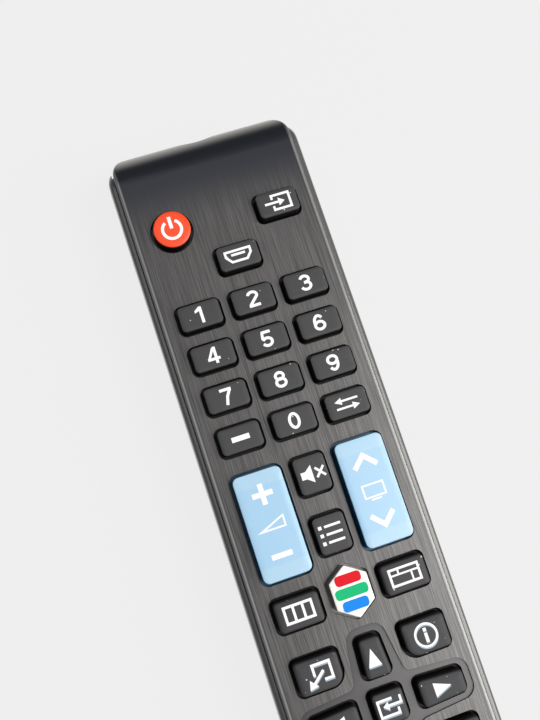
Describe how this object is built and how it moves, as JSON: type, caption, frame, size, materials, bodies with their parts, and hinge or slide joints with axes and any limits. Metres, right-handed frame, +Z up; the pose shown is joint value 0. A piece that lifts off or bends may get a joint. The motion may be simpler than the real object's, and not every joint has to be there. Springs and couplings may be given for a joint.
{
  "type": "tv remote control",
  "caption": "Long slim infrared hand control with a brushed face that curves over its front end, sprung keys, rocking volume and channel keys and a sliding battery door.",
  "frame": {"origin": "middle of the flat back that the remote lies on", "axes": "+X across to the right seen from above, +Y along to the front end that points at the screen, +Z up out of the keys"},
  "size_m": [0.048, 0.216, 0.0237],
  "materials": {
    "shell_plastic": "fine satin",
    "brushed_face": "hairline brushed along the length",
    "ir_window": "dark, polished",
    "grey_rubber": "matte",
    "circuit_board": "solder resist",
    "clear_epoxy": "clear, tinted",
    "chip_epoxy": "moulded",
    "board_parts": "mixed small parts",
    "nickel_strip": "nickel plated",
    "cell_wrap": "plain wrapped",
    "screw_steel": "blackened",
    "key_rubber": "fine matte",
    "red_key_plastic": "satin",
    "white_key_plastic": "satin with coloured print",
    "blue_key_plastic": "milky, glossy",
    "colour_key_red": "satin",
    "colour_key_green": "satin",
    "colour_key_yellow": "satin",
    "colour_key_blue": "satin"
  },
  "bodies": {
    "root": {"bottom_case": "shell_plastic", "top_case": "brushed_face", "ir_window": "ir_window", "keypad_mat": "grey_rubber", "key_domes": "grey_rubber", "circuit_board": "circuit_board", "ir_led": "clear_epoxy", "controller_chip": "chip_epoxy", "board_parts": "board_parts", "terminal_positive": "nickel_strip", "terminal_negative": "nickel_strip", "battery_bridge": "nickel_strip", "aaa_cell_left": "cell_wrap", "aaa_cell_right": "cell_wrap", "case_screws": "screw_steel"},
    "door": {"battery_door": "shell_plastic"},
    "power_key": {"power_key": "red_key_plastic"},
    "source_key": {"source_key": "key_rubber"},
    "connector_key": {"connector_key": "key_rubber"},
    "number_one_key": {"number_one_key": "key_rubber"},
    "number_two_key": {"number_two_key": "key_rubber"},
    "number_three_key": {"number_three_key": "key_rubber"},
    "number_four_key": {"number_four_key": "key_rubber"},
    "number_five_key": {"number_five_key": "key_rubber"},
    "number_six_key": {"number_six_key": "key_rubber"},
    "number_seven_key": {"number_seven_key": "key_rubber"},
    "number_eight_key": {"number_eight_key": "key_rubber"},
    "number_nine_key": {"number_nine_key": "key_rubber"},
    "dash_key": {"dash_key": "key_rubber"},
    "number_zero_key": {"number_zero_key": "key_rubber"},
    "previous_channel_key": {"previous_channel_key": "key_rubber"},
    "mute_key": {"mute_key": "key_rubber"},
    "channel_list_key": {"channel_list_key": "key_rubber"},
    "menu_key": {"menu_key": "key_rubber"},
    "guide_key": {"guide_key": "key_rubber"},
    "hexagon_key": {"hexagon_key": "white_key_plastic"},
    "tools_key": {"tools_key": "key_rubber"},
    "info_key": {"info_key": "key_rubber"},
    "return_key": {"return_key": "key_rubber"},
    "exit_key": {"exit_key": "key_rubber"},
    "arrow_up_key": {"arrow_up_key": "key_rubber"},
    "arrow_down_key": {"arrow_down_key": "key_rubber"},
    "arrow_left_key": {"arrow_left_key": "key_rubber"},
    "arrow_right_key": {"arrow_right_key": "key_rubber"},
    "enter_key": {"enter_key": "key_rubber"},
    "red_key": {"red_key": "colour_key_red"},
    "green_key": {"green_key": "colour_key_green"},
    "yellow_key": {"yellow_key": "colour_key_yellow"},
    "blue_key": {"blue_key": "colour_key_blue"},
    "subtitle_key": {"subtitle_key": "key_rubber"},
    "size_key": {"size_key": "key_rubber"},
    "settings_key": {"settings_key": "key_rubber"},
    "rewind_key": {"rewind_key": "key_rubber"},
    "pause_key": {"pause_key": "key_rubber"},
    "forward_key": {"forward_key": "key_rubber"},
    "record_key": {"record_key": "key_rubber"},
    "play_key": {"play_key": "key_rubber"},
    "stop_key": {"stop_key": "key_rubber"},
    "volume_rocker": {"volume_rocker": "blue_key_plastic"},
    "channel_rocker": {"channel_rocker": "blue_key_plastic"}
  },
  "joints": [
    {"name": "power_press", "type": "slide", "parent": "root", "child": "power_key", "axis": [0, 0, -1], "range_m": [0, 0.0008], "stiffness_N_per_m": 1200, "deforming": ["key_domes"]},
    {"name": "source_press", "type": "slide", "parent": "root", "child": "source_key", "axis": [0, 0, -1], "range_m": [0, 0.0008], "stiffness_N_per_m": 1200, "deforming": ["key_domes"]},
    {"name": "connector_press", "type": "slide", "parent": "root", "child": "connector_key", "axis": [0, 0, -1], "range_m": [0, 0.0008], "stiffness_N_per_m": 1200, "deforming": ["key_domes"]},
    {"name": "number_one_press", "type": "slide", "parent": "root", "child": "number_one_key", "axis": [0, 0, -1], "range_m": [0, 0.0008], "stiffness_N_per_m": 1200, "deforming": ["key_domes"]},
    {"name": "number_two_press", "type": "slide", "parent": "root", "child": "number_two_key", "axis": [0, 0, -1], "range_m": [0, 0.0008], "stiffness_N_per_m": 1200, "deforming": ["key_domes"]},
    {"name": "number_three_press", "type": "slide", "parent": "root", "child": "number_three_key", "axis": [0, 0, -1], "range_m": [0, 0.0008], "stiffness_N_per_m": 1200, "deforming": ["key_domes"]},
    {"name": "number_four_press", "type": "slide", "parent": "root", "child": "number_four_key", "axis": [0, 0, -1], "range_m": [0, 0.0008], "stiffness_N_per_m": 1200, "deforming": ["key_domes"]},
    {"name": "number_five_press", "type": "slide", "parent": "root", "child": "number_five_key", "axis": [0, 0, -1], "range_m": [0, 0.0008], "stiffness_N_per_m": 1200, "deforming": ["key_domes"]},
    {"name": "number_six_press", "type": "slide", "parent": "root", "child": "number_six_key", "axis": [0, 0, -1], "range_m": [0, 0.0008], "stiffness_N_per_m": 1200, "deforming": ["key_domes"]},
    {"name": "number_seven_press", "type": "slide", "parent": "root", "child": "number_seven_key", "axis": [0, 0, -1], "range_m": [0, 0.0008], "stiffness_N_per_m": 1200, "deforming": ["key_domes"]},
    {"name": "number_eight_press", "type": "slide", "parent": "root", "child": "number_eight_key", "axis": [0, 0, -1], "range_m": [0, 0.0008], "stiffness_N_per_m": 1200, "deforming": ["key_domes"]},
    {"name": "number_nine_press", "type": "slide", "parent": "root", "child": "number_nine_key", "axis": [0, 0, -1], "range_m": [0, 0.0008], "stiffness_N_per_m": 1200, "deforming": ["key_domes"]},
    {"name": "dash_press", "type": "slide", "parent": "root", "child": "dash_key", "axis": [0, 0, -1], "range_m": [0, 0.0008], "stiffness_N_per_m": 1200, "deforming": ["key_domes"]},
    {"name": "number_zero_press", "type": "slide", "parent": "root", "child": "number_zero_key", "axis": [0, 0, -1], "range_m": [0, 0.0008], "stiffness_N_per_m": 1200, "deforming": ["key_domes"]},
    {"name": "previous_channel_press", "type": "slide", "parent": "root", "child": "previous_channel_key", "axis": [0, 0, -1], "range_m": [0, 0.0008], "stiffness_N_per_m": 1200, "deforming": ["key_domes"]},
    {"name": "mute_press", "type": "slide", "parent": "root", "child": "mute_key", "axis": [0, 0, -1], "range_m": [0, 0.0008], "stiffness_N_per_m": 1200, "deforming": ["key_domes"]},
    {"name": "channel_list_press", "type": "slide", "parent": "root", "child": "channel_list_key", "axis": [0, 0, -1], "range_m": [0, 0.0008], "stiffness_N_per_m": 1200, "deforming": ["key_domes"]},
    {"name": "menu_press", "type": "slide", "parent": "root", "child": "menu_key", "axis": [0, 0, -1], "range_m": [0, 0.0008], "stiffness_N_per_m": 1200, "deforming": ["key_domes"]},
    {"name": "guide_press", "type": "slide", "parent": "root", "child": "guide_key", "axis": [0, 0, -1], "range_m": [0, 0.0008], "stiffness_N_per_m": 1200, "deforming": ["key_domes"]},
    {"name": "hexagon_press", "type": "slide", "parent": "root", "child": "hexagon_key", "axis": [0, 0, -1], "range_m": [0, 0.0008], "stiffness_N_per_m": 1200, "deforming": ["key_domes"]},
    {"name": "tools_press", "type": "slide", "parent": "root", "child": "tools_key", "axis": [0, 0, -1], "range_m": [0, 0.0008], "stiffness_N_per_m": 1200, "deforming": ["key_domes"]},
    {"name": "info_press", "type": "slide", "parent": "root", "child": "info_key", "axis": [0, 0, -1], "range_m": [0, 0.0008], "stiffness_N_per_m": 1200, "deforming": ["key_domes"]},
    {"name": "return_press", "type": "slide", "parent": "root", "child": "return_key", "axis": [0, 0, -1], "range_m": [0, 0.0008], "stiffness_N_per_m": 1200, "deforming": ["key_domes"]},
    {"name": "exit_press", "type": "slide", "parent": "root", "child": "exit_key", "axis": [0, 0, -1], "range_m": [0, 0.0008], "stiffness_N_per_m": 1200, "deforming": ["key_domes"]},
    {"name": "arrow_up_press", "type": "slide", "parent": "root", "child": "arrow_up_key", "axis": [0, 0, -1], "range_m": [0, 0.0008], "stiffness_N_per_m": 1200, "deforming": ["key_domes"]},
    {"name": "arrow_down_press", "type": "slide", "parent": "root", "child": "arrow_down_key", "axis": [0, 0, -1], "range_m": [0, 0.0008], "stiffness_N_per_m": 1200, "deforming": ["key_domes"]},
    {"name": "arrow_left_press", "type": "slide", "parent": "root", "child": "arrow_left_key", "axis": [0, 0, -1], "range_m": [0, 0.0008], "stiffness_N_per_m": 1200, "deforming": ["key_domes"]},
    {"name": "arrow_right_press", "type": "slide", "parent": "root", "child": "arrow_right_key", "axis": [0, 0, -1], "range_m": [0, 0.0008], "stiffness_N_per_m": 1200, "deforming": ["key_domes"]},
    {"name": "enter_press", "type": "slide", "parent": "root", "child": "enter_key", "axis": [0, 0, -1], "range_m": [0, 0.0008], "stiffness_N_per_m": 1200, "deforming": ["key_domes"]},
    {"name": "red_press", "type": "slide", "parent": "root", "child": "red_key", "axis": [0, 0, -1], "range_m": [0, 0.0008], "stiffness_N_per_m": 1200, "deforming": ["key_domes"]},
    {"name": "green_press", "type": "slide", "parent": "root", "child": "green_key", "axis": [0, 0, -1], "range_m": [0, 0.0008], "stiffness_N_per_m": 1200, "deforming": ["key_domes"]},
    {"name": "yellow_press", "type": "slide", "parent": "root", "child": "yellow_key", "axis": [0, 0, -1], "range_m": [0, 0.0008], "stiffness_N_per_m": 1200, "deforming": ["key_domes"]},
    {"name": "blue_press", "type": "slide", "parent": "root", "child": "blue_key", "axis": [0, 0, -1], "range_m": [0, 0.0008], "stiffness_N_per_m": 1200, "deforming": ["key_domes"]},
    {"name": "subtitle_press", "type": "slide", "parent": "root", "child": "subtitle_key", "axis": [0, 0, -1], "range_m": [0, 0.0008], "stiffness_N_per_m": 1200, "deforming": ["key_domes"]},
    {"name": "size_press", "type": "slide", "parent": "root", "child": "size_key", "axis": [0, 0, -1], "range_m": [0, 0.0008], "stiffness_N_per_m": 1200, "deforming": ["key_domes"]},
    {"name": "settings_press", "type": "slide", "parent": "root", "child": "settings_key", "axis": [0, 0, -1], "range_m": [0, 0.0008], "stiffness_N_per_m": 1200, "deforming": ["key_domes"]},
    {"name": "rewind_press", "type": "slide", "parent": "root", "child": "rewind_key", "axis": [0, 0, -1], "range_m": [0, 0.0008], "stiffness_N_per_m": 1200, "deforming": ["key_domes"]},
    {"name": "pause_press", "type": "slide", "parent": "root", "child": "pause_key", "axis": [0, 0, -1], "range_m": [0, 0.0008], "stiffness_N_per_m": 1200, "deforming": ["key_domes"]},
    {"name": "forward_press", "type": "slide", "parent": "root", "child": "forward_key", "axis": [0, 0, -1], "range_m": [0, 0.0008], "stiffness_N_per_m": 1200, "deforming": ["key_domes"]},
    {"name": "record_press", "type": "slide", "parent": "root", "child": "record_key", "axis": [0, 0, -1], "range_m": [0, 0.0008], "stiffness_N_per_m": 1200, "deforming": ["key_domes"]},
    {"name": "play_press", "type": "slide", "parent": "root", "child": "play_key", "axis": [0, 0, -1], "range_m": [0, 0.0008], "stiffness_N_per_m": 1200, "deforming": ["key_domes"]},
    {"name": "stop_press", "type": "slide", "parent": "root", "child": "stop_key", "axis": [0, 0, -1], "range_m": [0, 0.0008], "stiffness_N_per_m": 1200, "deforming": ["key_domes"]},
    {"name": "volume_rock", "type": "hinge", "parent": "root", "child": "volume_rocker", "pos_m": [-0.0124, 0.0119, 0.0172], "axis": [1, 0, 0], "range_deg": [-3, 3], "stiffness_Nm_per_rad": 0.4, "deforming": ["key_domes"]},
    {"name": "channel_rock", "type": "hinge", "parent": "root", "child": "channel_rocker", "pos_m": [0.0124, 0.0119, 0.0172], "axis": [1, 0, 0], "range_deg": [-3, 3], "stiffness_Nm_per_rad": 0.4, "deforming": ["key_domes"]},
    {"name": "door_slide", "type": "slide", "parent": "root", "child": "door", "axis": [0, -1, 0], "range_m": [0, 0.066]}
  ]
}
